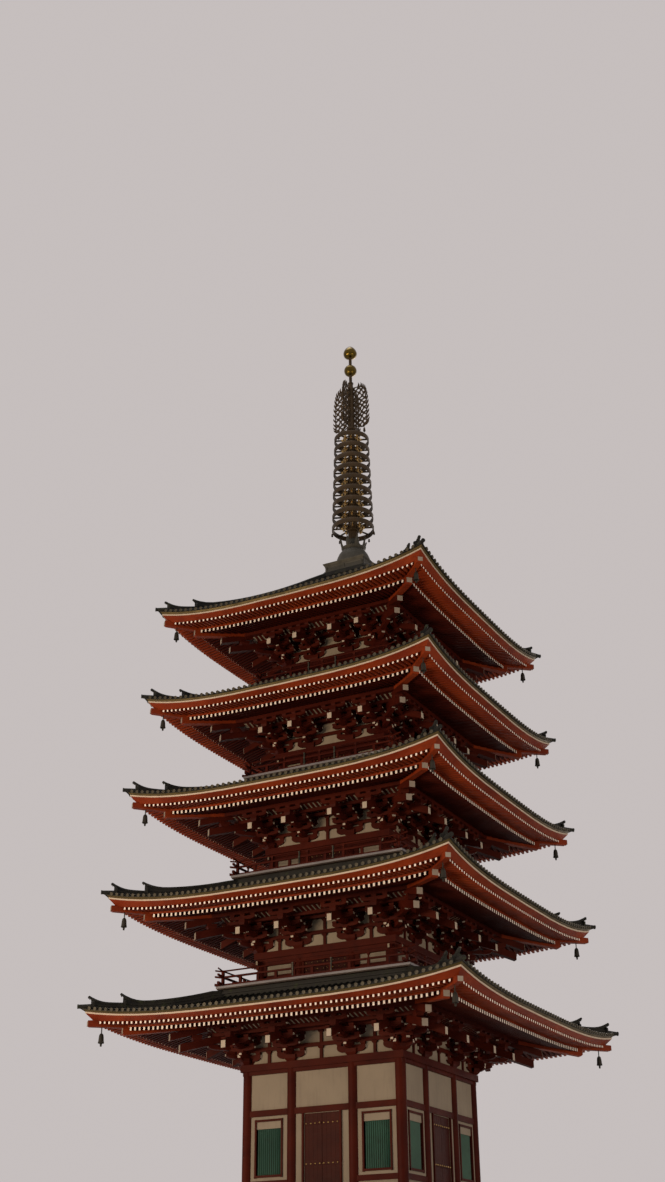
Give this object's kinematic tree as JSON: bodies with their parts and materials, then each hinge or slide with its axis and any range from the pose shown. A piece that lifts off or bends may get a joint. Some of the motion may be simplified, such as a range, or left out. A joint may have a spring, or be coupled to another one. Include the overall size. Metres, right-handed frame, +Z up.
{
  "type": "scale model of a five-storey temple pagoda",
  "caption": "Square vermilion temple tower with swept tiled roofs, bracketed eaves, railed balconies and a tall ringed bronze finial, on a stone podium, at half size.",
  "frame": {"origin": "centre of the podium's underside, on the tower's axis, at ground level", "axes": "+Z up along the finial, -Y out of the front with the steps, +X to the right seen from the front"},
  "size_m": [9.19, 12.3404, 26.65],
  "materials": {
    "vermilion_timber": "painted, satin",
    "end_white": "painted end grain, matte",
    "plaster": "lime plaster, matte",
    "roof_tile": "weathered, semi-matte",
    "eave_gold": "dulled gilt",
    "deck_board": "weathered grey",
    "bronze": "aged, semi-matte",
    "gilt": "gilded, worn",
    "stone": "cut granite"
  },
  "bodies": {
    "root": {"stone_podium": "stone", "podium_coping": "stone", "front_steps": "stone", "tower_plinth": "plaster", "veranda_steps": "vermilion_timber", "storey1_floor": "deck_board", "storey1_railing": "vermilion_timber", "storey1_walls": "vermilion_timber", "storey1_brackets": "vermilion_timber", "roof1_eaves": "vermilion_timber", "roof1_tiles": "roof_tile", "storey2_floor": "deck_board", "storey2_railing": "vermilion_timber", "storey2_walls": "vermilion_timber", "storey2_brackets": "vermilion_timber", "roof2_eaves": "vermilion_timber", "roof2_tiles": "roof_tile", "storey3_floor": "deck_board", "storey3_railing": "vermilion_timber", "storey3_walls": "vermilion_timber", "storey3_brackets": "vermilion_timber", "roof3_eaves": "vermilion_timber", "roof3_tiles": "roof_tile", "storey4_floor": "deck_board", "storey4_railing": "vermilion_timber", "storey4_walls": "vermilion_timber", "storey4_brackets": "vermilion_timber", "roof4_eaves": "vermilion_timber", "roof4_tiles": "roof_tile", "storey5_floor": "deck_board", "storey5_railing": "vermilion_timber", "storey5_walls": "vermilion_timber", "storey5_brackets": "vermilion_timber", "roof5_eaves": "vermilion_timber", "roof5_tiles": "roof_tile", "front_door": "vermilion_timber", "right_door": "vermilion_timber", "back_door": "vermilion_timber", "left_door": "vermilion_timber", "finial_base": "bronze", "finial_bowl": "bronze", "finial_lotus": "bronze", "finial_mast": "bronze", "finial_flame": "bronze", "finial_ball": "gilt", "finial_jewel": "gilt"}
  },
  "joints": []
}
